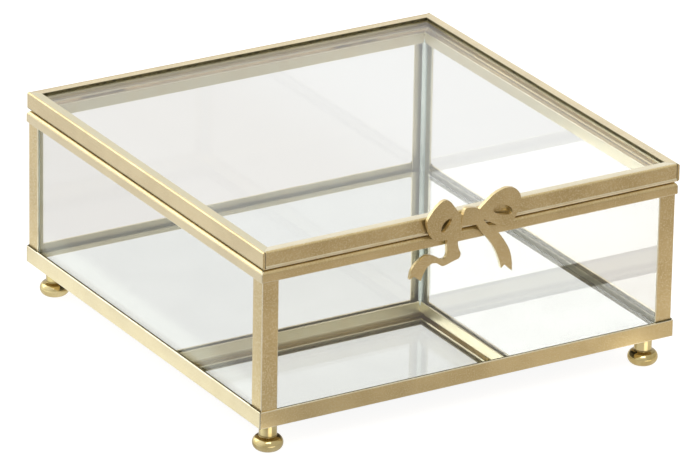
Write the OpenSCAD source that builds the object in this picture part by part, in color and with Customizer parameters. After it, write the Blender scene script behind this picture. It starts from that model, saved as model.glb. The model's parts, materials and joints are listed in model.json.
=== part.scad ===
// Square glass jewelry box: a brass strip frame on four turned feet, glass walls, a mirror floor
// and a framed glass lid that opens on two small hinges, with a flat ribbon bow on its front.
// The origin is on the floor, under the middle of the box. +X is to the right, the bow faces -Y, +Z is up.

/* [Box] */
// Width of the base frame over its rails
box_w = 150; // [130:1:200]
// Depth of the base frame over its rails
box_d = 150; // [130:1:200]
// Height of the base frame, from the underside of its bottom rails to the top of its top rails
frame_h = 52.2; // [45:0.1:90]
// Thickness of the glass walls
wall_glass = 2; // [1.5:0.1:2.5]
// Thickness of the mirror floor
mirror_t = 2.4; // [1:0.1:3]
// Thickness of the felt under the mirror
felt_t = 0.4; // [0.2:0.1:0.5]

/* [Base frame strips] */
// Thickness of the folded brass strip in the base frame
strip_t = 0.6; // [0.5:0.1:0.8]
// Height of the bottom rails' outer leg
bottom_rail_h = 5.6; // [4:0.1:8]
// Width of the bottom rails' flat leg, which carries the glass and the mirror
bottom_rail_ledge = 9; // [8:0.1:12]
// Width of each leg of the corner posts
post_leg = 5.8; // [4:0.1:8]
// Height of the top rails, which cap the glass
top_rail_h = 3.9; // [3.5:0.1:6]
// Radius of the top rails' outer upper edge
top_rail_round = 1.4; // [0.8:0.1:1.5]

/* [Lid] */
// Height of the lid's frame
lid_h = 5.8; // [5.5:0.1:8]
// How far the lid's front stands back from the base frame
lid_inset = 0.2; // [0.2:0.1:0.8]
// How far the lid sits to the right of the base frame's middle
lid_offset = 0.4; // [0:0.1:0.6]
// Clearance between the closed lid and the base frame
lid_gap = 0.4; // [0.3:0.1:0.6]
// Thickness of the lid's glass
lid_glass = 2; // [1.5:0.1:2.5]
// Width of the lid rails' top flange, from the outer face
lid_flange = 3.4; // [3:0.1:5]
// Thickness of the lid rails' outer wall and top flange
lid_wall = 0.8; // [0.6:0.1:1]
// How far the lid can be opened, in degrees
lid_open = 105; // [95:1:110]

/* [Hinges] */
// Distance of each hinge from the middle of the box
hinge_spread = 47; // [30:1:55]
// Length of each hinge
hinge_l = 16; // [12:0.5:24]
// Outer radius of the hinge knuckles
knuckle_r = 1.1; // [1:0.05:1.2]
// Radius of the hinge pins
pin_r = 0.55; // [0.5:0.05:0.6]
// Running clearance between a pin and the lid's knuckle, on the radius
pin_play = 0.05; // [0.02:0.01:0.08]

/* [Bow] */
// Thickness of the bow's sheet
bow_t = 1.2; // [0.8:0.1:1.5]
// Distance between the lid's front face and the back of the bow
bow_standoff = 1; // [0.8:0.1:1.5]
// How far the knot stands out in front of the loops
knot_t = 0.3; // [0.2:0.1:0.5]

/* [Feet] */
// Height of the feet
foot_h = 10.3; // [9:0.1:16]
// Greatest radius of the feet's bun
foot_r = 4.85; // [4:0.05:6]
// Height of the bun
bun_h = 4.7; // [4:0.1:7]
// Radius of the neck where it meets the frame
neck_r = 3.1; // [2.6:0.05:3.6]
// Distance from the frame's outer faces to each foot's axis
foot_inset = 6.7; // [6:0.1:8]

/* [Hidden] */
$fn = 64;
SIDES = ["front", "right", "back", "left"];
CORNERS = ["front_left", "front_right", "back_right", "back_left"];
HINGES = ["left", "right"];
function named(stem, ends) = [for (e = ends) str(stem, e)];

// Colours
BRASS = [0.80, 0.69, 0.45];
POLISHED = [0.86, 0.74, 0.46];
CLEAR = [0.86, 0.92, 0.91, 0.35];
SILVER = [0.88, 0.90, 0.90];
FELT = [0.16, 0.16, 0.17];

// Levels, from the floor up
frame_z = foot_h;
ledge_z = frame_z + strip_t;
frame_top = frame_z + frame_h;
cap_z = frame_top - strip_t;
lid_z = frame_top + lid_gap;
lid_top = lid_z + lid_h;
lid_glass_top = lid_top - lid_wall;
lid_glass_z = lid_glass_top - lid_glass;
lip_t = 0.5;

// Distances inward from the base frame's outer faces
post_in = strip_t;
glass_in = post_in + strip_t;
room_in = glass_in + wall_glass;
cap_w = room_in + strip_t;

// The lid is as wide as the base frame, is set back at the front and is flush at the back
lid_w = box_w;
lid_d = box_d - lid_inset;
lid_shift = lid_inset / 2;
lip_short = 0.4;
lid_edge_round = 0.7;
bead_r = 0.6;
bead_proud = 0.2;
lid_foot = 2.4;
lid_foot_t = 0.6;
corner_slit = 0.2;

// The hinges' axis lies behind the frame, level with the gap under the lid
axis_clear = 0.25;
axis_out = knuckle_r + axis_clear;
axis_y = box_d / 2 + axis_out;
axis_z = frame_top + lid_gap / 2;
leaf_t = 0.5;
knuckle_gap = 0.3;
lid_knuckle_share = 0.36;
lid_knuckle_l = hinge_l * lid_knuckle_share;
leaf_edge = 0.7;
leaf_play = 0.1;
pin_head_r = 0.85;
pin_head_t = 0.4;

// At full opening the stop lug leans 35 degrees off straight down and lands on the frame's back,
// so with the lid closed it points backward, tilted by the rest of the lid's travel
lug_lean = 35;
lug_angle = lid_open - 90 - lug_lean;
lug_t = 0.8;
lug_side = 0.5;
lug_w = lid_knuckle_l - 2 * lug_side;
lug_room = 0.15;
stop_play = 0.1;
lug_l = (axis_out - stop_play - lug_t / 2 * cos(lug_lean)) / sin(lug_lean);

// The bow lies flat in front of the lid; its height is measured from the lid's top
knot_x = -1.8;
bow_back = box_d / 2 - lid_inset + bow_standoff;
spacer_w = 4.6;
spacer_h = 3;
spacer_drop = 4.2;
curve_steps = 6;

// How far a cut runs past the faces it opens
cut = 1;

// A point a share t of the way along the smooth curve from b to c, between neighbours a and d
function on_curve(a, b, c, d, t) =
    (2 * b + (c - a) * t + (2 * a - 5 * b + 4 * c - d) * t * t + (3 * b - a - 3 * c + d) * t * t * t) / 2;

// A smooth closed outline through the points p
function smooth_ring(p) =
    let (n = len(p))
    [for (i = [0 : n - 1]) for (j = [0 : curve_steps - 1])
        on_curve(p[(i + n - 1) % n], p[i], p[(i + 1) % n], p[(i + 2) % n], j / curve_steps)];

// A smooth open line through the points p, from the first to the last
function smooth_line(p) =
    let (n = len(p))
    [for (i = [0 : n - 2]) for (j = [0 : curve_steps - (i < n - 2 ? 1 : 0)])
        on_curve(p[max(i - 1, 0)], p[i], p[i + 1], p[min(i + 2, n - 1)], j / curve_steps)];

// Puts its children, drawn for the front side, on another side of a w by d rectangle
module on_side(side, w, d) {
    out = side % 2 == 0 ? d / 2 : w / 2;
    rotate([0, 0, 90 * side])
        translate([0, -out, 0])
            children();
}

// Length of a side of a w by d rectangle
function side_length(side, w, d) = side % 2 == 0 ? w : d;

// A straight bar along X; the section's X runs inward from the outer face and its Y runs up
module bar(length) {
    translate([-length / 2, 0, 0])
        rotate([90, 0, 90])
            linear_extrude(length)
                children();
}

// A bar cut off at both ends by the 45 degree planes through the frame's corners
module mitred_bar(length, reach, height) {
    intersection() {
        bar(length + 2 * cut) children();
        translate([0, 0, -cut])
            linear_extrude(height + 2 * cut)
                polygon([
                    [-length / 2 - cut, -cut],
                    [length / 2 + cut, -cut],
                    [length / 2 - reach, reach],
                    [-length / 2 + reach, reach]
                ]);
    }
}

// Places its children at a corner of the base frame, drawn for the front left one
module at_corner(corner) {
    mirror([corner == 1 || corner == 2 ? 1 : 0, 0, 0])
        mirror([0, corner >= 2 ? 1 : 0, 0])
            translate([-box_w / 2, -box_d / 2, 0])
                children();
}

// Angle strip: an outer leg that shows, and a flat leg that carries the glass and the mirror
module bottom_rail(side) {
    color(BRASS)
        on_side(side, box_w, box_d)
            translate([0, 0, frame_z])
                mitred_bar(side_length(side, box_w, box_d), bottom_rail_ledge, bottom_rail_h)
                    union() {
                        square([strip_t, bottom_rail_h]);
                        square([bottom_rail_ledge, strip_t]);
                    }
}

// Angle strip at a corner, between the rails' outer leg and the glass
module corner_post(corner) {
    color(BRASS)
        at_corner(corner)
            translate([post_in, post_in, ledge_z])
                linear_extrude(cap_z - ledge_z)
                    union() {
                        square([post_leg, strip_t]);
                        square([strip_t, post_leg]);
                    }
}

// Channel strip that caps the glass, with a round outer upper edge
module top_rail(side) {
    color(BRASS)
        on_side(side, box_w, box_d)
            translate([0, 0, frame_top - top_rail_h])
                mitred_bar(side_length(side, box_w, box_d), cap_w, top_rail_h)
                    difference() {
                        union() {
                            square([cap_w, top_rail_h - top_rail_round]);
                            translate([top_rail_round, 0])
                                square([cap_w - top_rail_round, top_rail_h]);
                            translate([top_rail_round, top_rail_h - top_rail_round])
                                circle(top_rail_round);
                        }
                        translate([strip_t, -cut])
                            square([room_in - strip_t, top_rail_h - strip_t + cut]);
                    }
}

// Front and back panes run the full width; the side panes stand between them
module glass_wall(side) {
    across = side % 2 == 0 ? box_w - 2 * glass_in : box_d - 2 * room_in;
    color(CLEAR)
        on_side(side, box_w, box_d)
            translate([-across / 2, glass_in, ledge_z])
                cube([across, wall_glass, cap_z - ledge_z]);
}

// Mirror pane that lies on the ledges, inside the glass walls
module mirror_floor() {
    w = box_w - 2 * room_in;
    d = box_d - 2 * room_in;
    color(SILVER)
        translate([-w / 2, -d / 2, ledge_z])
            cube([w, d, mirror_t]);
}

// Felt glued under the mirror, inside the ledges
module felt_underside() {
    w = box_w - 2 * bottom_rail_ledge;
    d = box_d - 2 * bottom_rail_ledge;
    color(FELT)
        translate([-w / 2, -d / 2, ledge_z - felt_t])
            cube([w, d, felt_t]);
}

// Turned foot: a flat bottomed bun under a waisted neck
module foot(corner) {
    bun_round = bun_h / 2;
    waist_r = 4;
    waist_depth = 0.3;
    waist_drop = 0.5;
    color(POLISHED)
        at_corner(corner)
            translate([foot_inset, foot_inset, 0])
                rotate_extrude() {
                    square([foot_r - bun_round, bun_h]);
                    intersection() {
                        translate([foot_r - bun_round, bun_round])
                            circle(bun_round);
                        square([foot_r, bun_h]);
                    }
                    difference() {
                        square([neck_r, foot_h]);
                        translate([neck_r + waist_r - waist_depth, (bun_h + foot_h) / 2 - waist_drop])
                            circle(waist_r);
                    }
                }
}

// Places its children at a hinge, with the hinge's axis along X through the origin
module at_hinge(hinge) {
    translate([(2 * hinge - 1) * hinge_spread, axis_y, axis_z])
        children();
}

// A cylinder along X, centred
module rod(r, length) {
    rotate([0, 90, 0])
        cylinder(r = r, h = length, center = true);
}

// Leaf on the back of the base frame, with a knuckle at each end
module hinge_base_leaf(hinge) {
    lug_sweep = sqrt(lug_l * lug_l + lug_t * lug_t / 4) + lug_room;
    leaf_rise = 0.3;
    leaf_z = frame_top - top_rail_h + leaf_rise - axis_z;
    notch_l = lid_knuckle_l + 2 * knuckle_gap;
    color(BRASS)
        at_hinge(hinge)
            difference() {
                union() {
                    translate([-hinge_l / 2, -axis_out, leaf_z])
                        cube([hinge_l, leaf_t, -lid_gap / 2 - leaf_z]);
                    translate([-hinge_l / 2, -axis_out, -knuckle_r])
                        cube([hinge_l, axis_out, knuckle_r - lid_gap / 2]);
                    rod(knuckle_r, hinge_l);
                }
                translate([-notch_l / 2, -axis_out - cut, -lug_sweep])
                    cube([notch_l, axis_out + knuckle_r + 2 * cut, lug_sweep + knuckle_r + cut]);
                rod(pin_r, hinge_l + 2 * cut);
            }
}

// Leaf on the back of the lid, with the middle knuckle and the stop lug
module hinge_lid_leaf(hinge) {
    leaf_z = lid_z + 2 * bead_r + leaf_play - axis_z;
    neck_in = bead_proud + leaf_play;
    neck_out = 0.3;
    color(BRASS)
        at_hinge(hinge)
            difference() {
                union() {
                    translate([-hinge_l / 2, -axis_out, leaf_z])
                        cube([hinge_l, leaf_t, lid_top - leaf_edge - axis_z - leaf_z]);
                    translate([-lid_knuckle_l / 2, -axis_out + neck_in, lid_gap])
                        cube([lid_knuckle_l, axis_out - neck_in - neck_out, leaf_z + leaf_edge - lid_gap]);
                    rod(knuckle_r, lid_knuckle_l);
                    rotate([lug_angle, 0, 0])
                        translate([-lug_w / 2, knuckle_r / 2, -lug_t / 2])
                            cube([lug_w, lug_l - knuckle_r / 2, lug_t]);
                }
                rod(pin_r + pin_play, hinge_l);
            }
}

// Hinge pin, held in the base leaf's knuckles, with a flat head at each end
module hinge_pin(hinge) {
    color(POLISHED)
        at_hinge(hinge) {
            rod(pin_r, hinge_l);
            for (end = [-1, 1])
                translate([end * (hinge_l + pin_head_t) / 2, 0, 0])
                    rod(pin_head_r, pin_head_t);
        }
}

// Lid rail: a wall with a mitred flange over the glass, a lip under it and a flange along its foot.
// The front and back walls have a bead at the foot and stop just short of the side rails' walls,
// which run through to the corners.
module lid_rail(side) {
    beaded = side % 2 == 0;
    long = side_length(side, lid_w, lid_d);
    wall_l = beaded ? long - 2 * (lid_wall + corner_slit) : long;
    foot_round = beaded ? 0 : lid_edge_round;
    color(BRASS)
        translate([lid_offset, lid_shift, lid_z])
            on_side(side, lid_w, lid_d) {
                bar(wall_l)
                    intersection() {
                        union() {
                            translate([0, foot_round])
                                square([lid_wall, lid_h - lid_edge_round - foot_round]);
                            translate([lid_edge_round, lid_h - lid_edge_round])
                                circle(lid_edge_round);
                            if (beaded)
                                translate([bead_r - bead_proud, bead_r])
                                    circle(bead_r);
                            else
                                translate([lid_edge_round, lid_edge_round])
                                    circle(lid_edge_round);
                        }
                        translate([-bead_proud, 0])
                            square([lid_wall + bead_proud, lid_h]);
                    }
                mitred_bar(long, lid_flange, lid_h)
                    union() {
                        translate([lid_wall, lid_h - lid_wall])
                            square([lid_flange - lid_wall, lid_wall]);
                        translate([lid_wall, lid_h - lid_wall - lid_glass - lip_t])
                            square([lid_flange - lip_short - lid_wall, lip_t]);
                        translate([lid_wall, 0])
                            square([lid_foot - lid_wall, lid_foot_t]);
                    }
            }
}

// Pane held between the lid rails' flanges and lips
module lid_glass() {
    w = lid_w - 2 * lid_wall;
    d = lid_d - 2 * lid_wall;
    color(CLEAR)
        translate([lid_offset - w / 2, lid_shift - d / 2, lid_glass_z])
            cube([w, d, lid_glass]);
}

// The bow's outlines are drawn as seen from the front: X to the right, Y up from the lid's top
module loop_left() {
    difference() {
        polygon(smooth_ring([
            [-4.4, -1.2], [-6.4, 0.2], [-8.3, 2.8], [-10, 4.9], [-12, 5.5], [-14.8, 3.8],
            [-16.9, 1.5], [-18, -0.9], [-17.4, -3.5], [-16.1, -6.2], [-13.9, -7.4], [-10.4, -7.8],
            [-6.8, -7.6], [-5.2, -4.2]
        ]));
        polygon(smooth_ring([
            [-13, -4.1], [-12.4, -2.5], [-11.2, -1.3], [-9.6, -0.9], [-9.3, -1.8],
            [-10.3, -3.3], [-11.4, -4.6], [-12.5, -4.9]
        ]));
    }
}

module loop_right() {
    difference() {
        polygon(smooth_ring([
            [0.2, -0.6], [2.8, 1.9], [5.5, 3.9], [8, 5], [10.7, 5.5], [13.4, 4.7],
            [15.2, 2.7], [15.8, 0.2], [15.5, -2.1], [14, -4.5], [12.8, -6.5], [11.2, -7.5],
            [8.7, -6.9], [6, -5.6], [3.2, -3.9], [1, -2.4]
        ]));
        polygon(smooth_ring([
            [5.7, -1.1], [7.2, 0.1], [9.3, 0.1], [11.4, -0.9], [12.6, -2.4], [12.1, -3.6],
            [9.8, -3.4], [7.2, -2.6]
        ]));
    }
}

// The knot: a pinched square
module knot() {
    polygon(smooth_ring([
        [-5.2, -0.4], [-4.4, 1.4], [-2.4, 1.5], [-0.3, 0.9], [1.4, -0.6],
        [2.3, -2.5], [1.7, -4.1], [-0.6, -4.6], [-3.2, -4.2], [-5.3, -4], [-5.7, -2.2]
    ]));
}

// A ribbon end with a V cut: one side of the ribbon, the V, and the other side back
module tail(down, notch, up) {
    polygon(concat(smooth_line(down), [notch], smooth_line(up)));
}

module tail_left() {
    tail(
        [
            [-6, -5], [-6.6, -7.9], [-6.8, -9.7], [-6.3, -11.7], [-5.7, -13.3], [-6.4, -14.7], [-8.3, -15.2],
            [-10.5, -15.9], [-12.3, -16.1], [-14.3, -14.8], [-16.2, -14.6], [-17.9, -15.8], [-19, -17.5],
            [-19.9, -19.6]
        ],
        [-22.3, -17.6],
        [
            [-23.9, -18.3], [-23.5, -15.9], [-22.5, -14.3], [-20.9, -12.9], [-19, -11.7], [-17.2, -11.5],
            [-14.9, -12.4], [-13, -13.6], [-11.4, -13.7], [-10.7, -12.4], [-10.7, -9.8], [-10.7, -6]
        ]
    );
}

module tail_right() {
    tail(
        [
            [-1, -3.2], [0.1, -5.1], [1.7, -7.5], [3.6, -9.8], [5.5, -12.3], [7, -15], [8.2, -18],
            [9.1, -21.1]
        ],
        [10.3, -20.1],
        [
            [13, -22.7], [13, -20.5], [12.6, -17.5], [11.5, -14.5], [9.7, -11.5], [7.8, -8.9], [5.4, -6.9],
            [3.3, -4.9], [1.8, -3]
        ]
    );
}

// Stands a flat outline up in front of the lid, its back at the distance back from the middle
module upright(back, thickness) {
    translate([0, -back, lid_top])
        rotate([90, 0, 0])
            linear_extrude(thickness)
                children();
}

// Ribbon bow cut from sheet, with its knot standing a little proud
module bow() {
    color(BRASS) {
        upright(bow_back, bow_t) {
            loop_left();
            loop_right();
            knot();
            tail_left();
            tail_right();
        }
        upright(bow_back + bow_t, knot_t)
            knot();
    }
}

// Solder block that holds the bow clear of the lid's front rail
module bow_spacer() {
    color(BRASS)
        translate([knot_x - spacer_w / 2, -bow_back, lid_top - spacer_drop])
            cube([spacer_w, bow_standoff, spacer_h]);
}

for (i = [0 : 3]) {
    bottom_rail(i);
    corner_post(i);
    top_rail(i);
    glass_wall(i);
    foot(i);
    lid_rail(i);
}
for (i = [0 : 1]) {
    hinge_base_leaf(i);
    hinge_pin(i);
    hinge_lid_leaf(i);
}
mirror_floor();
felt_underside();
lid_glass();
bow();
bow_spacer();
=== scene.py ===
import json
import math

import bmesh
import bpy
from mathutils import Matrix, Vector

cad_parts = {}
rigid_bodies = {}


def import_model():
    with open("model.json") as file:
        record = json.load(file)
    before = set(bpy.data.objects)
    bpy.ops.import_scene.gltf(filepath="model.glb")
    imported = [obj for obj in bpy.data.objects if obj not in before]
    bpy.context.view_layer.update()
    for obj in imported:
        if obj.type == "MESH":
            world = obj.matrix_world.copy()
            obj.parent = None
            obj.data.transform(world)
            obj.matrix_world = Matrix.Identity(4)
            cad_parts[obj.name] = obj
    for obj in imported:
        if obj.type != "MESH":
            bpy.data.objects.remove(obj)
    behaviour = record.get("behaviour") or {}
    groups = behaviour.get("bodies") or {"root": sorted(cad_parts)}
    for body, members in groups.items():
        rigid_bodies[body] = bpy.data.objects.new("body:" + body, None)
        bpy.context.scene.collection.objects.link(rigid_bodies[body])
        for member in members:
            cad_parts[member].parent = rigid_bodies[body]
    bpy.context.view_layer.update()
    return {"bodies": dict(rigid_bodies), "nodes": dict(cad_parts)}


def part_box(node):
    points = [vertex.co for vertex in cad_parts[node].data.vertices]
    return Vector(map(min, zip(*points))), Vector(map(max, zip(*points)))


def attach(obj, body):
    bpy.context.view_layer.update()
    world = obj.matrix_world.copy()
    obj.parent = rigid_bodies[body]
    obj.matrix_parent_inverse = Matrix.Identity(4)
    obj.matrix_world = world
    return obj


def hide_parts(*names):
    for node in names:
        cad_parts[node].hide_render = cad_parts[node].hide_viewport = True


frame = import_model()

MM = 0.001
SIDES = ("front", "right", "back", "left")
CORNERS = ("front_left", "front_right", "back_right", "back_left")
HINGES = ("left", "right")


# ---------------------------------------------------------------- node graphs
class Graph:
    """Short calls for building a node tree."""

    def __init__(self, tree):
        self.tree = tree
        tree.nodes.clear()

    def add(self, kind, inputs=None, **settings):
        node = self.tree.nodes.new(kind)
        for key, value in settings.items():
            setattr(node, key, value)
        for key, value in (inputs or {}).items():
            if isinstance(value, bpy.types.NodeSocket):
                self.tree.links.new(value, node.inputs[key])
            else:
                node.inputs[key].default_value = value
        return node

    def place(self):
        """Where a point is in the piece, in metres."""
        return self.add("ShaderNodeTexCoord").outputs["Object"]

    def math(self, operation, a, b=0.0):
        return self.add("ShaderNodeMath", {0: a, 1: b}, operation=operation).outputs[0]

    def measure(self, operation, a, b):
        """A number from two vectors."""
        node = self.add("ShaderNodeVectorMath", {0: a, 1: b}, operation=operation)
        return node.outputs["Value"]

    def ramp(self, value, low=0.3, high=0.7, to_low=0.0, to_high=1.0):
        """Maps low..high to to_low..to_high with soft ends; low and high suit a noise."""
        node = self.add(
            "ShaderNodeMapRange",
            {"Value": value, "From Min": low, "From Max": high, "To Min": to_low, "To Max": to_high},
            interpolation_type="SMOOTHSTEP",
        )
        return node.outputs["Result"]

    def band(self, value, rise, fall):
        """1 between two soft edges and 0 outside them."""
        return self.math("MULTIPLY", self.ramp(value, *rise), self.ramp(value, *fall))

    def noise(self, vector, scale, detail=2.0, rough=0.5):
        node = self.add(
            "ShaderNodeTexNoise",
            {"Vector": vector, "Scale": scale, "Detail": detail, "Roughness": rough},
        )
        return node.outputs["Fac"]

    def mix(self, factor, a, b):
        node = self.add("ShaderNodeMix", {0: factor, 6: a, 7: b}, data_type="RGBA")
        return node.outputs[2]

    def face_value(self, name):
        return self.add("ShaderNodeAttribute", attribute_name=name).outputs["Fac"]

    def stretched(self, vector, scale):
        return self.add("ShaderNodeMapping", {"Vector": vector, "Scale": scale}).outputs["Vector"]

    def bump(self, height, depth, strength):
        node = self.add("ShaderNodeBump", {"Height": height, "Distance": depth, "Strength": strength})
        return node.outputs["Normal"]

    def principled(self, **inputs):
        """The main shader; an input's name has _ for its spaces."""
        named = {key.replace("_", " "): value for key, value in inputs.items()}
        return self.add("ShaderNodeBsdfPrincipled", named).outputs["BSDF"]

    def surface(self, shader):
        self.add("ShaderNodeOutputMaterial", {"Surface": shader})


def material(name):
    mat = bpy.data.materials.new(name)
    mat.use_nodes = True
    return mat, Graph(mat.node_tree)


# ---------------------------------------------------------------- materials
# Satin brass: its two main tones, its fine pale specks, and the tones painted on marked faces as
# highlights, sheen and shade
BRASS = (0.78, 0.615, 0.31, 1)
BRASS_DEEP = (0.66, 0.505, 0.235, 1)
BRASS_PALE = (0.90, 0.78, 0.50, 1)
BRASS_EDGE = (0.97, 0.90, 0.68, 1)
BRASS_INNER_SHADE = (0.72, 0.67, 0.46, 1)
BRASS_PALE_SHEEN = (0.93, 0.88, 0.70, 1)
BRASS_PAINTED_SHADE = (0.26, 0.22, 0.10, 1)

POLISHED_DEEP = (0.62, 0.49, 0.21, 1)
POLISHED_PALE = (0.80, 0.68, 0.37, 1)
# painted shade for the crease between the feet's bun and neck
POLISHED_SHADE = (0.27, 0.20, 0.08, 1)

GLASS_TINT = (0.982, 0.986, 0.978, 1)
GLASS_SHADE = (0.93, 0.95, 0.94, 1)
GROUND_DEEP = (0.66, 0.76, 0.70, 1)
GROUND_PALE = (0.80, 0.87, 0.82, 1)
MIRROR_DEEP = (0.90, 0.91, 0.885, 1)
MIRROR_PALE = (0.925, 0.935, 0.91, 1)

FELT_DEEP = (0.018, 0.018, 0.020, 1)
FELT_PALE = (0.055, 0.054, 0.056, 1)
SEAM_SHADE_DEEP = (0.06, 0.048, 0.02, 1)
SEAM_SHADE_PALE = (0.20, 0.165, 0.075, 1)


def satin_brass(name, grain):
    """Lacquered satin brass; grain stretches the fine finish along a strip.

    Face values: edge marks the rounded edges, worn bright and painted brighter as highlights, and
    the lid's bead, a painted highlight; pale the faces painted paler as sheen where the light falls;
    inner the faces turned into the box and the lid's left top, painted a duller tone as shade;
    groove the painted shade along the lid's glass, inside the lid and along the side rails' foot.
    """
    mat, g = material(name)
    place = g.place()
    clouds = g.noise(place, scale=70, detail=3.0)
    streaks = g.noise(g.stretched(place, grain), scale=1500, detail=3.0, rough=0.6)
    speckle = g.noise(place, scale=2600, rough=0.6)
    patches = g.noise(place, scale=160, detail=3.0)

    def marked(value, least, high=0.7):
        """A face value, thinned in patches to no less than a share of itself."""
        return g.math("MULTIPLY", g.face_value(value), g.ramp(patches, high=high, to_low=least))

    # edge: the rounded edges, worn bright and also painted brighter as highlights; the lid's bead as a
    # painted highlight
    edge_wear_and_highlight = marked("edge", least=0.5, high=0.6)
    colour = g.mix(g.ramp(clouds), BRASS_DEEP, BRASS)
    colour = g.mix(g.ramp(speckle, low=0.45, to_high=0.75), colour, BRASS_PALE)
    # pale: painted sheen, a paler tone on the faces where the light falls
    colour = g.mix(marked("pale", least=0.85), colour, BRASS_PALE_SHEEN)
    # inner: a duller tone painted as shade
    colour = g.mix(marked("inner", least=0.7), colour, BRASS_INNER_SHADE)
    # groove: painted shade along the lid's glass, on the lid's inside and on the side rails' foot
    colour = g.mix(marked("painted_shade", least=0.75), colour, BRASS_PAINTED_SHADE)
    colour = g.mix(edge_wear_and_highlight, colour, BRASS_EDGE)
    rough = g.ramp(streaks, to_low=0.34, to_high=0.45)
    rough = g.math("SUBTRACT", rough, g.math("MULTIPLY", edge_wear_and_highlight, 0.1))
    relief = g.math("ADD", g.math("MULTIPLY", streaks, 0.6), g.math("MULTIPLY", speckle, 0.4))
    g.surface(
        g.principled(
            Base_Color=colour,
            Metallic=1.0,
            Roughness=rough,
            Normal=g.bump(relief, depth=0.02 * MM, strength=0.5),
            Coat_Weight=0.8,
            Coat_Roughness=0.25,
        )
    )
    return mat


def polished_brass():
    """Polished brass with faint turning rings; the groove face value marks a band painted dark as
    shade.
    """
    mat, g = material("polished_brass")
    place = g.place()
    rings = g.noise(g.stretched(place, (0.15, 0.15, 1.0)), scale=1800, detail=3.0)
    clouds = g.noise(place, scale=220, detail=3.0)
    crease_shade = g.math("MULTIPLY", g.face_value("painted_shade"), g.ramp(clouds, 0.2, 0.6, 0.6, 0.9))
    colour = g.mix(g.ramp(clouds), POLISHED_DEEP, POLISHED_PALE)
    g.surface(
        g.principled(
            Base_Color=g.mix(crease_shade, colour, POLISHED_SHADE),
            Metallic=1.0,
            Roughness=g.ramp(rings, to_low=0.12, to_high=0.2),
            Normal=g.bump(rings, depth=0.01 * MM, strength=0.4),
        )
    )
    return mat


def clear_glass():
    """Clear pane glass; lamps shine through it."""
    mat, g = material("clear_glass")
    waves = g.noise(g.place(), scale=25)
    glass = g.principled(
        Base_Color=GLASS_TINT,
        Roughness=0.0,
        IOR=1.5,
        Transmission_Weight=1.0,
        Normal=g.bump(waves, depth=0.02 * MM, strength=0.2),
    )
    through = g.add("ShaderNodeBsdfTransparent", {"Color": GLASS_SHADE}).outputs[0]
    shadow = g.add("ShaderNodeLightPath").outputs["Is Shadow Ray"]
    g.surface(g.add("ShaderNodeMixShader", {0: shadow, 1: glass, 2: through}).outputs[0])
    return mat


def mirror_glass():
    """Silvered glass with a faint haze."""
    mat, g = material("mirror")
    haze = g.noise(g.place(), scale=60, detail=4.0)
    g.surface(
        g.principled(
            Base_Color=g.mix(g.ramp(haze), MIRROR_DEEP, MIRROR_PALE),
            Metallic=1.0,
            Roughness=g.ramp(haze, low=0.4, to_low=0.008, to_high=0.02),
        )
    )
    return mat


def felt():
    """Black felt with a short, clumped nap."""
    mat, g = material("felt")
    place = g.place()
    fibres = g.noise(place, scale=2200, detail=6.0, rough=0.75)
    clumps = g.noise(place, scale=260, detail=4.0)
    nap = g.math("ADD", fibres, g.math("MULTIPLY", clumps, 0.4))
    g.surface(
        g.principled(
            Base_Color=g.mix(fibres, FELT_DEEP, FELT_PALE),
            Roughness=g.ramp(fibres, 0.2, 0.8, 0.85, 1.0),
            Normal=g.bump(nap, depth=0.15 * MM, strength=0.8),
            Sheen_Weight=0.5,
            Sheen_Roughness=0.4,
        )
    )
    return mat


def ground_glass():
    """The panes' sawn and ground edges and the glue in the corners: frosted, pale green."""
    mat, g = material("ground_glass")
    place = g.place()
    grit = g.noise(place, scale=3000, detail=4.0, rough=0.7)
    bands = g.noise(place, scale=90, detail=3.0)
    g.surface(
        g.principled(
            Base_Color=g.mix(g.ramp(bands), GROUND_DEEP, GROUND_PALE),
            Roughness=g.ramp(grit, 0.2, 0.8, 0.35, 0.6),
            Normal=g.bump(grit, depth=0.03 * MM, strength=0.6),
        )
    )
    return mat


def seam_shade():
    """A dark, grained colour for the strips painted as shade in slits, gaps and seams."""
    mat, g = material("seam_shade")
    grain = g.noise(g.place(), scale=900, detail=4.0, rough=0.65)
    g.surface(
        g.principled(
            Base_Color=g.mix(g.ramp(grain, 0.35, 0.65), SEAM_SHADE_DEEP, SEAM_SHADE_PALE),
            Metallic=0.6,
            Roughness=g.ramp(grain, to_low=0.55, to_high=0.8),
            Normal=g.bump(grain, depth=0.05 * MM, strength=0.7),
        )
    )
    return mat


GRAIN = 0.06  # how far the satin finish is drawn out along a strip: its scale in that direction
BRASS_X = satin_brass("satin_brass_x", (GRAIN, 1, 1))
BRASS_Y = satin_brass("satin_brass_y", (1, GRAIN, 1))
BRASS_Z = satin_brass("satin_brass_z", (1, 1, GRAIN))
BRASS_BOW = satin_brass("satin_brass_bow", (0.5, 1, 1))
POLISHED = polished_brass()
GLASS = clear_glass()
MIRROR = mirror_glass()
FELT = felt()
GROUND = ground_glass()
SEAM_SHADE = seam_shade()


# ---------------------------------------------------------------- mesh helpers
def body_of(node):
    parent = frame["nodes"][node].parent
    return next(name for name, empty in frame["bodies"].items() if empty == parent)


def place_piece(piece, bm, mats, body):
    """Turns finished mesh code into an object that rides on a body."""
    mesh = bpy.data.meshes.new(piece)
    bm.to_mesh(mesh)
    bm.free()
    obj = bpy.data.objects.new(piece, mesh)
    bpy.context.scene.collection.objects.link(obj)
    for mat in mats:
        mesh.materials.append(mat)
    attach(obj, body)
    return obj


def round_over(bm, edges, width, segments, mark=None):
    """Rounds edges; mark is the face layer that is set to 1 on the faces this makes."""
    made = bmesh.ops.bevel(
        bm,
        geom=edges,
        offset=width,
        offset_type="OFFSET",
        segments=segments,
        profile=0.5,
        affect="EDGES",
        clamp_overlap=True,
        miter_outer="ARC",
    )
    if mark:
        for face in made["faces"]:
            face[mark] = 1.0


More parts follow.
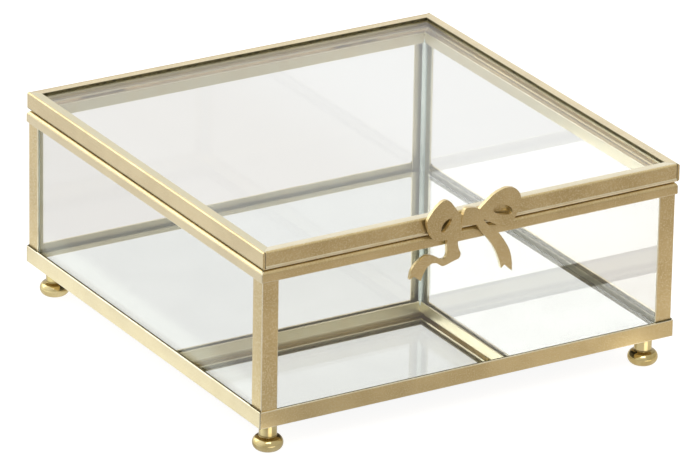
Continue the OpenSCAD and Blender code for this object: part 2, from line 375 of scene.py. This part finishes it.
def box_mesh(low, high):
    bm = bmesh.new()
    bmesh.ops.create_cube(bm, size=1.0)
    for v in bm.verts:
        v.co = Vector(high[k] if v.co[k] > 0 else low[k] for k in range(3))
    return bm


def bar(side, across, run, heights):
    """Lowest and highest corners of a bar along one side of the box.

    across is its extent square to that side and run its extent along it, each in any order.
    """
    across, run = sorted(across), sorted(run)
    if side in ("front", "back"):
        return [Vector((run[k], across[k], heights[k])) for k in range(2)]
    return [Vector((across[k], run[k], heights[k])) for k in range(2)]


def signs(name):
    """Which way a side or a corner lies from the middle of the box, along X and along Y."""
    return (1 if "right" in name else -1), (1 if "back" in name else -1)


def corner_block(corner, near, far, heights):
    """Lowest and highest corners of a square block between two distances from the middle."""
    sx, sy = signs(corner)
    return bar("front", (sy * near, sy * far), (sx * near, sx * far), heights)


# ---------------------------------------------------------------- brass strips, hinges and bow
RAIL_EDGE = 0.26 * MM  # how far the sharp edges are rounded over
LID_EDGE = 0.14 * MM
LEAF_EDGE = 0.1 * MM
PIN_EDGE = 0.08 * MM
BOW_EDGE = 0.32 * MM
BLOCK_EDGE = 0.3 * MM
SHARP = math.radians(28)  # a bend of the surface that counts as an edge
FLAT = math.radians(0.4)  # a bend so small that its two faces become one
TOUCH = 0.01 * MM
LID_WALL = 0.8 * MM
BEAD = 0.17 * MM  # how far the bead along the lid's foot stands proud
CORNER_SLIT = 0.2 * MM  # how far the side rails' corners stay back from the front and back rails
CORNER_REACH = 0.1 * MM
# How much paler each of the lid's top flanges is painted, as a painted sheen
FLANGE_SHEEN = {"front": 0.7, "right": 0.3, "back": 0.2, "left": 0.0}

lid_glass_low, lid_glass_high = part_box("lid_glass")
lid_low, lid_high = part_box("lid_rail_front")
side_low, side_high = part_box("lid_rail_left")


def turned_in(face):
    """Whether a face looks sideways towards the middle of the box."""
    outward = face.calc_center_median()
    return abs(face.normal.z) < 0.5 and face.normal.x * outward.x + face.normal.y * outward.y < 0


def flange_edge(face):
    return turned_in(face) and face.calc_center_median().z > lid_glass_high.z


def lid_inside(face):
    """The walls below the glass and the undersides of the flanges."""
    below = turned_in(face) and face.calc_center_median().z < lid_glass_low.z
    return below or face.normal.z < -0.9


def left_face(face):
    return face.normal.x < -0.9


def top_face(face):
    return face.normal.z > 0.99 and face.calc_center_median().z > lid_high.z - TOUCH


def lid_foot(face):
    """The rolled foot of a side rail's wall."""
    low_down = face.calc_center_median().z < lid_low.z + LID_WALL
    return not turned_in(face) and low_down and face.normal.z < 0.99


def lid_bead(face):
    """The bead along the foot of the front and back walls."""
    place = face.calc_center_median()
    return abs(place.y) > side_high.y - BEAD and place.z < lid_low.z + 2 * LID_WALL


def softened(node, piece, mat, width, marks=(), slit=0.0):
    """A copy of a CAD node's shape with its sharp edges rounded over.

    marks are (face value, amount, test of a face) that paint parts of it before the rounding.
    slit draws its outer corners back along Y.
    """
    bm = bmesh.new()
    bm.from_mesh(frame["nodes"][node].data)
    bmesh.ops.remove_doubles(bm, verts=bm.verts, dist=0.001 * MM)
    bmesh.ops.dissolve_limit(
        bm, angle_limit=FLAT, verts=bm.verts, edges=bm.edges, delimit=set()
    )
    bm.normal_update()
    layers = {name: bm.faces.layers.float.new(name) for name in ("edge", "pale", "inner", "painted_shade")}
    for face in bm.faces:
        # Painted shade: faces turned into the box get a duller, paler tone
        if turned_in(face):
            face[layers["inner"]] = 1.0
        for name, amount, test in marks:
            if test(face):
                face[layers[name]] = amount
    if slit:
        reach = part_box(node)[1].y - CORNER_REACH
        for v in bm.verts:
            if abs(v.co.y) > reach and abs(v.co.y) > abs(v.co.x) - TOUCH:
                v.co.y -= math.copysign(slit, v.co.y)
    edges = [e for e in bm.edges if len(e.link_faces) == 2 and e.calc_face_angle() > SHARP]
    # The rounded edges are marked edge: worn bright, and painted brighter as highlights
    round_over(bm, edges, width, 2, layers["edge"])
    for face in bm.faces:
        face.smooth = True
    obj = place_piece(piece, bm, [mat], body_of(node))
    weights = obj.modifiers.new("shading", "WEIGHTED_NORMAL")
    weights.keep_sharp = True
    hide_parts(node)


def satin(node, piece, mat, width, marks=(), slit=0.0):
    softened(node, piece, mat, width, marks, slit)


for i, side in enumerate(SIDES):
    beside = i % 2 == 1
    mat = BRASS_Y if beside else BRASS_X
    # painted sheen: the rails' left faces, towards the key light, are painted paler
    base_marks = [("pale", 0.35, left_face)]
    slit = CORNER_SLIT if beside else 0.0
    satin("bottom_rail_" + side, "strip_bottom_" + side, mat, RAIL_EDGE, base_marks, slit)
    satin("top_rail_" + side, "strip_top_" + side, mat, RAIL_EDGE, base_marks)
    lid_marks = [
        # painted sheen: the left faces painted paler
        ("pale", 0.15, left_face),
        # painted shade along the flanges' inner edge, over the glass
        ("painted_shade", 1.0, flange_edge),
        # faint painted shade on the lid's inside walls and the flanges' undersides
        ("painted_shade", 0.12, lid_inside),
        # painted shadow on the side rails' rolled foot; painted highlight on the front and back rails'
        # bead
        ("painted_shade", 0.85, lid_foot) if beside else ("edge", 0.8, lid_bead),
        # painted sheen: the top flanges painted paler, by a different amount on each side
        ("pale", FLANGE_SHEEN[side], top_face),
    ]
    if side == "left":
        # painted shade: the left rail's top gets the duller inner tone
        lid_marks.append(("inner", 0.9, top_face))
    satin("lid_rail_" + side, "strip_lid_" + side, mat, LID_EDGE, lid_marks)
for corner in CORNERS:
    satin("corner_post_" + corner, "strip_post_" + corner, BRASS_Z, RAIL_EDGE)
for hinge in HINGES:
    satin("hinge_base_leaf_" + hinge, "leaf_base_" + hinge, BRASS_X, LEAF_EDGE)
    satin("hinge_lid_leaf_" + hinge, "leaf_lid_" + hinge, BRASS_X, LEAF_EDGE)
    softened("hinge_pin_" + hinge, "pin_" + hinge, POLISHED, PIN_EDGE)
satin("bow", "ribbon_bow", BRASS_BOW, BOW_EDGE)
satin("bow_spacer", "bow_solder", BRASS_BOW, BLOCK_EDGE)


# ---------------------------------------------------------------- glass
CLEAR = 0.04 * MM  # the space kept between two pieces that all but touch
PANE_EDGE = 0.15 * MM


def pane(node, piece, thin):
    """A pane with clear faces and ground, chamfered edges; thin is the axis of its thickness."""
    low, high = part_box(node)
    clear = Vector((CLEAR, CLEAR, CLEAR))
    bm = box_mesh(low + clear, high - clear)
    round_over(bm, list(bm.edges), PANE_EDGE, 1)
    bm.normal_update()
    for face in bm.faces:
        face.material_index = 0 if abs(face.normal[thin]) > 0.99 else 1
    obj = place_piece(piece, bm, [GLASS, GROUND], body_of(node))
    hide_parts(node)


for i, side in enumerate(SIDES):
    pane("glass_wall_" + side, "pane_" + side, 0 if i % 2 else 1)
pane("lid_glass", "pane_lid", 2)


# ---------------------------------------------------------------- painted shade strips in the seams, and glue
rail_low, rail_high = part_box("bottom_rail_front")
post_low, post_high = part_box("corner_post_front_left")
wall_low, wall_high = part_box("glass_wall_front")
mirror_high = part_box("mirror_floor")[1]
OUT = rail_high.x
POST_OUT = -post_low.x
POST_IN = -post_high.x
WALL_OUT = -wall_low.y


def seam(piece, corners, body):
    """A narrow dark strip painted as the shade in a seam."""
    bm = box_mesh(*corners)
    round_over(bm, list(bm.edges), 0.04 * MM, 2)
    place_piece(piece, bm, [SEAM_SHADE], body)


# The line between the glass and the bottom rails, just under the rails' upper edge: a dark strip
# painted as the deep slot's shade
SEAM_DEEP = 0.14 * MM
SEAM_TALL = {"front": 0.3 * MM, "left": 0.3 * MM, "right": 1.2 * MM}
seam_top = rail_high.z - SEAM_DEEP
for side, tall in SEAM_TALL.items():
    out = 1 if side == "right" else -1
    across = (out * (WALL_OUT + CLEAR), out * (POST_OUT - CLEAR))
    run = (CLEAR - POST_OUT, POST_OUT - CLEAR)
    seam("seam_" + side, bar(side, across, run, (seam_top - tall, seam_top)), "base")

# Dark strips painted as the shade line where each leg of a post stands on its rail; the near post's
# front leg has none
FOOT_SHADE_TALL = 0.24 * MM
FOOT_SHADE_IN = 0.1 * MM
BARE_LEG = ("front", "a")
for side in SIDES:
    out = 1 if side in ("right", "back") else -1
    across = (out * (POST_OUT - CLEAR), out * (OUT - FOOT_SHADE_IN))
    heights = (rail_high.z - CLEAR, rail_high.z + FOOT_SHADE_TALL)
    for end, sign in (("a", -1), ("b", 1)):
        if (side, end) != BARE_LEG:
            run = (sign * POST_IN, sign * (POST_OUT - 2 * CLEAR))
            seam("post_foot_" + side + "_" + end, bar(side, across, run, heights), "base")

# Dark strips painted as the shade in the open upright mitre joints between two bottom rails
JOINT = 0.3 * MM
JOINT_IN = 0.07 * MM
for corner in CORNERS:
    heights = (rail_low.z + JOINT_IN, rail_high.z - JOINT_IN)
    block = corner_block(corner, OUT - JOINT_IN - JOINT, OUT - JOINT_IN, heights)
    seam("joint_" + corner, block, "base")

# Dark strips painted as the shade in the slits where the lid's side rails meet its front and back rails
SLIT_DEEP = 0.25 * MM
SLIT_WIDE = 0.2 * MM
SLIT_GAP = 0.03 * MM
SLIT_FOOT = 0.2 * MM
SLIT_HEAD = 0.6 * MM
right_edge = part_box("lid_rail_right")[1].x
for name, face_y, inward in (("front", side_low.y, 1), ("back", side_high.y, -1)):
    across = (face_y + inward * SLIT_DEEP, face_y + inward * (LID_WALL - SLIT_GAP))
    heights = (side_low.z + SLIT_FOOT, side_high.z - SLIT_HEAD)
    for end, face_x, sx in (("left", side_low.x, 1), ("right", right_edge, -1)):
        start = face_x + sx * (LID_WALL + SLIT_GAP)
        run = (start, start + sx * (SLIT_WIDE - 2 * SLIT_GAP))
        seam("slit_" + name + "_" + end, bar(name, across, run, heights), "lid")

# Dark strips painted as the shade in the corner between the lid's glass and its flanges
SHADE_STRIP_TALL = 0.55 * MM
SHADE_STRIP_WIDE = 0.25 * MM
shade_strip_heights = (lid_glass_high.z - 2 * CLEAR, lid_glass_high.z + SHADE_STRIP_TALL)
shade_strip_run = {
    "x": (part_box("lid_rail_left")[1].x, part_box("lid_rail_right")[0].x),
    "y": (lid_high.y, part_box("lid_rail_back")[0].y),
}
for side in SIDES:
    low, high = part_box("lid_rail_" + side)
    out = 1 if side in ("right", "back") else -1
    axis, run = (1, "x") if side in ("front", "back") else (0, "y")
    flange = low[axis] if out == 1 else high[axis]
    across = (flange - out * SHADE_STRIP_WIDE, flange + out * CLEAR)
    seam("lid_shade_" + side, bar(side, across, shade_strip_run[run], shade_strip_heights), "lid")

# Clear glue in the inner corners, hollowed towards the box
GLUE = 1.0 * MM
GLUE_BELOW = 2 * MM  # how far it stops short of the glass walls' upper edge
glue_out = mirror_high.x - CLEAR
glue_middle = glue_out - GLUE / 2
for corner in CORNERS:
    heights = (mirror_high.z + CLEAR, wall_high.z - GLUE_BELOW)
    bm = box_mesh(*corner_block(corner, glue_out - GLUE, glue_out, heights))
    inner = [
        e for e in bm.edges if all(max(abs(v.co.x), abs(v.co.y)) < glue_middle for v in e.verts)
    ]
    round_over(bm, inner, 0.9 * GLUE, 4)
    for face in bm.faces:
        face.smooth = True
    place_piece("glue_" + corner, bm, [GROUND], "base")


# ---------------------------------------------------------------- feet
BUN_H = 4.7 * MM
NECK_R = 3.1 * MM
WAIST_R = 2.82 * MM
COVE = 0.3 * MM
FLARE_FROM = 0.45  # the share of the neck's height where it starts to widen
FLARE_POWER = 1.8
CREASE_SHADE_BAND = (BUN_H - 0.55 * MM, BUN_H + 0.5 * MM)  # the heights painted dark as the shade in the crease between bun and neck
BUN_STEPS = 40
NECK_STEPS = 24
TURN_STEPS = 96


def arc(centre_r, centre_z, radius, start, end, steps):
    """Points on a circle in the (radius, height) plane, angles in degrees from outward."""
    points = []
    for k in range(steps + 1):
        a = math.radians(start + (end - start) * k / steps)
        points.append((centre_r + radius * math.cos(a), centre_z + radius * math.sin(a)))
    return points


def foot_profile(radius, height):
    """Bun, a tight cove where it meets the neck, a waisted neck."""
    bun_round = BUN_H / 2
    flat = radius - bun_round
    shoulder = math.degrees(math.acos((WAIST_R + COVE - flat) / bun_round))
    points = [(0, 0.0), (flat * 0.6, 0.0)]
    points += arc(flat, bun_round, bun_round, -90, shoulder, BUN_STEPS)
    start_r, start_z = points[-1]
    neck_low = start_z + COVE * 0.6
    points += [(start_r - COVE * 0.55, start_z + COVE * 0.15), (WAIST_R + COVE * 0.12, neck_low)]
    for k in range(1, NECK_STEPS + 1):
        t = k / NECK_STEPS
        flare = max(0.0, (t - FLARE_FROM) / (1 - FLARE_FROM)) ** FLARE_POWER
        points.append((WAIST_R + (NECK_R - WAIST_R) * flare, neck_low + (height - neck_low) * t))
    points.append((0, height))
    return points


def lathe(piece, profile, centre, crease_shade):
    """A turned shape from (radius, height) points, closed on the axis at both ends.

    dull is the band of heights painted dark as shade, in the crease where the bun meets the neck.
    """
    bm = bmesh.new()
    turn = [2 * math.pi * k / TURN_STEPS for k in range(TURN_STEPS)]
    rings = []
    for radius, height in profile:
        angles = turn if radius > 0 else [0.0]
        rings.append(
            [
                bm.verts.new((centre.x + radius * math.cos(a), centre.y + radius * math.sin(a), height))
                for a in angles
            ]
        )
    for low, high in zip(rings, rings[1:]):
        for k in range(TURN_STEPS):
            after = (k + 1) % TURN_STEPS
            if len(low) == 1:
                bm.faces.new((low[0], high[after], high[k]))
            elif len(high) == 1:
                bm.faces.new((low[k], low[after], high[0]))
            else:
                bm.faces.new((low[k], low[after], high[after], high[k]))
    bmesh.ops.recalc_face_normals(bm, faces=bm.faces)
    painted_shade = bm.faces.layers.float.new("painted_shade")
    for face in bm.faces:
        face.smooth = True
        face[painted_shade] = 1.0 if crease_shade[0] < face.calc_center_median().z < crease_shade[1] else 0.0
    return place_piece(piece, bm, [POLISHED], "base")


for corner in CORNERS:
    low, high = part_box("foot_" + corner)
    profile = foot_profile((high.x - low.x) / 2, high.z)
    foot = lathe("turned_foot_" + corner, profile, (low + high) / 2, CREASE_SHADE_BAND)
    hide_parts("foot_" + corner)


# ---------------------------------------------------------------- CAD nodes that stay
def finish_node(node, mat):
    for slot in frame["nodes"][node].material_slots:
        slot.material = mat


finish_node("mirror_floor", MIRROR)
finish_node("felt_underside", FELT)


# ---------------------------------------------------------------- floor, light and camera
FLOOR_SEEN = (0.90, 0.90, 0.90, 1)
FLOOR_SHADE = (0.30, 0.30, 0.30, 1)  # how much of the lamps' light and shadow the camera sees
BLACK = (0, 0, 0, 1)
WHITE = (1, 1, 1, 1)

# How bright the floor is to a reflection, by the place on it
BACK_LEFT = (0.72, 0.72, 0.73, 1)
BACK_MIDDLE = (0.89, 0.865, 0.84, 1)
BACK_RIGHT = (0.955, 0.955, 0.95, 1)
FRONT_LEFT = (0.14, 0.125, 0.11, 1)
FRONT_RIGHT = (0.74, 0.68, 0.61, 1)
FRONT_MIDDLE = (0.72, 0.655, 0.60, 1)
FRONT_FAR = (0.37, 0.33, 0.29, 1)
LEFT_CLOSE = (1.18, 1.22, 1.14, 1)
LEFT_FAR = (1.0, 1.0, 0.97, 1)
FOOT_SPOT = (1.7, 1.62, 1.45, 1)
UNDER_BOX = (0.42, 0.36, 0.27, 1)

# The studio's brightness: overall, towards the key light, and in the key light's own patch
SKY_DIM = (0.60, 0.58, 0.53, 1)
SKY_BRIGHT = (0.94, 0.945, 0.95, 1)
SKY_KEY = (1.25, 1.25, 1.22, 1)
KEY_WAY = (-0.45, 0.75, 0.485)

FLOOR_WAY = (-0.45, 0.85, 0)  # from the dark front half of the floor to its bright back half
SPOT_PLACE = (0.070, -0.088, 0)  # the bright spots in front of the front feet, mirrored in X


def floor_glow(g):
    """The floor's brightness to a reflection: each line lays one patch over those before it."""
    place = g.place()
    axes = g.add("ShaderNodeSeparateXYZ", {0: place})
    x, y = axes.outputs["X"], axes.outputs["Y"]
    behind = g.mix(g.ramp(x, -0.15, -0.02), BACK_LEFT, BACK_MIDDLE)
    behind = g.mix(g.ramp(x, 0.05, 0.12), behind, BACK_RIGHT)
    ahead = g.mix(g.ramp(x, -0.07, 0.1), FRONT_LEFT, FRONT_RIGHT)
    ahead = g.mix(g.ramp(y, -0.20, -0.13), FRONT_FAR, ahead)
    ahead = g.mix(g.band(y, (-0.20, -0.17), (-0.11, -0.13)), ahead, FRONT_MIDDLE)
    away = g.measure("DOT_PRODUCT", place, FLOOR_WAY)
    lit = g.mix(g.ramp(away, -0.16, 0.06), ahead, behind)

    close = g.band(x, (-0.104, -0.097), (-0.078, -0.084))
    beside = g.band(y, (-0.085, -0.05), (0.13, 0.09))
    lit = g.mix(g.math("MULTIPLY", close, beside), lit, LEFT_CLOSE)
    far = g.band(x, (-0.2, -0.16), (-0.142, -0.15))
    lit = g.mix(g.math("MULTIPLY", far, g.ramp(y, 0.02, 0.08)), lit, LEFT_FAR)

    wide, deep = g.math("ABSOLUTE", x), g.math("ABSOLUTE", y)
    either_side = g.add("ShaderNodeCombineXYZ", {0: wide, 1: y, 2: 0.0}).outputs[0]
    gap = g.measure("DISTANCE", either_side, SPOT_PLACE)
    lit = g.mix(g.ramp(gap, 0.010, 0.005), lit, FOOT_SPOT)
    under = g.math("MULTIPLY", g.ramp(wide, 0.066, 0.056), g.ramp(deep, 0.066, 0.056))
    return g.mix(under, lit, UNDER_BOX)


def floor():
    """A plain table: white with a faint shadow to the camera, and a set glow to reflections."""
    bm = bmesh.new()
    bmesh.ops.create_circle(bm, cap_ends=True, segments=96, radius=4.0)
    mesh = bpy.data.meshes.new("floor")
    bm.to_mesh(mesh)
    bm.free()
    obj = bpy.data.objects.new("floor", mesh)
    bpy.context.scene.collection.objects.link(obj)
    mat, g = material("floor_white")
    seen = g.add("ShaderNodeLightPath").outputs["Is Camera Ray"]
    glow = g.add("ShaderNodeEmission", {"Color": g.mix(seen, floor_glow(g), FLOOR_SEEN)})
    matte = g.add("ShaderNodeBsdfDiffuse", {"Color": g.mix(seen, BLACK, FLOOR_SHADE)})
    g.surface(g.add("ShaderNodeAddShader", {0: glow.outputs[0], 1: matte.outputs[0]}).outputs[0])
    mesh.materials.append(mat)


def surroundings():
    """A studio that is brightest high at the back left and dimmest at the front right."""
    world = bpy.data.worlds.new("studio")
    world.use_nodes = True
    bpy.context.scene.world = world
    g = Graph(world.node_tree)
    way = g.add("ShaderNodeTexCoord").outputs["Generated"]
    key = g.measure("DOT_PRODUCT", way, KEY_WAY)
    light = g.mix(g.ramp(key, -0.3, 0.56), SKY_DIM, SKY_BRIGHT)
    light = g.mix(g.ramp(key, 0.62, 0.93), light, SKY_KEY)
    seen = g.add("ShaderNodeLightPath").outputs["Is Camera Ray"]
    sky = g.add("ShaderNodeBackground", {"Color": g.mix(seen, light, WHITE), "Strength": 1.0})
    g.add("ShaderNodeOutputWorld", {"Surface": sky.outputs[0]})


BOX_MIDDLE = Vector((0, 0, 0.03))


def area_light(name, size, power, place):
    """A rectangular lamp that faces the box."""
    data = bpy.data.lights.new(name, "AREA")
    data.shape = "RECTANGLE"
    data.size, data.size_y = size
    data.energy = power
    lamp = bpy.data.objects.new(name, data)
    lamp.location = place
    lamp.rotation_euler = (BOX_MIDDLE - Vector(place)).to_track_quat("-Z", "Y").to_euler()
    bpy.context.scene.collection.objects.link(lamp)


CAMERA_AZIMUTH = math.radians(-31.1)
CAMERA_ELEVATION = math.radians(22.71)
CAMERA_ROLL = math.radians(1.03)
CAMERA_DISTANCE = 2.215
CAMERA_TARGET = Vector((-0.0004, -0.0023, 0.0337))
CAMERA_LENS = 360  # millimetres, on a sensor 36 mm wide


def camera():
    """The photograph's viewpoint: from the front left, above, with a long lens."""
    back = Vector(
        (
            math.sin(CAMERA_AZIMUTH) * math.cos(CAMERA_ELEVATION),
            -math.cos(CAMERA_AZIMUTH) * math.cos(CAMERA_ELEVATION),
            math.sin(CAMERA_ELEVATION),
        )
    )
    level = Vector((0, 0, 1)).cross(back).normalized()
    upright = back.cross(level)
    right = level * math.cos(CAMERA_ROLL) + upright * math.sin(CAMERA_ROLL)
    up = upright * math.cos(CAMERA_ROLL) - level * math.sin(CAMERA_ROLL)
    data = bpy.data.cameras.new("camera")
    data.lens = CAMERA_LENS
    data.sensor_width = 36
    data.clip_end = 20
    cam = bpy.data.objects.new("camera", data)
    turn = Matrix((right, up, back)).transposed().to_4x4()
    cam.matrix_world = Matrix.Translation(CAMERA_TARGET + back * CAMERA_DISTANCE) @ turn
    bpy.context.scene.collection.objects.link(cam)
    bpy.context.scene.camera = cam


floor()
surroundings()
area_light("window", size=(1.2, 1.2), power=6.5, place=(-1.1, 1.5, 1.1))
area_light("front", size=(1.2, 0.8), power=10, place=(-0.60, -1.24, 1.75))
camera()
scene = bpy.context.scene
scene.view_settings.view_transform = "Standard"
scene.view_settings.look = "None"
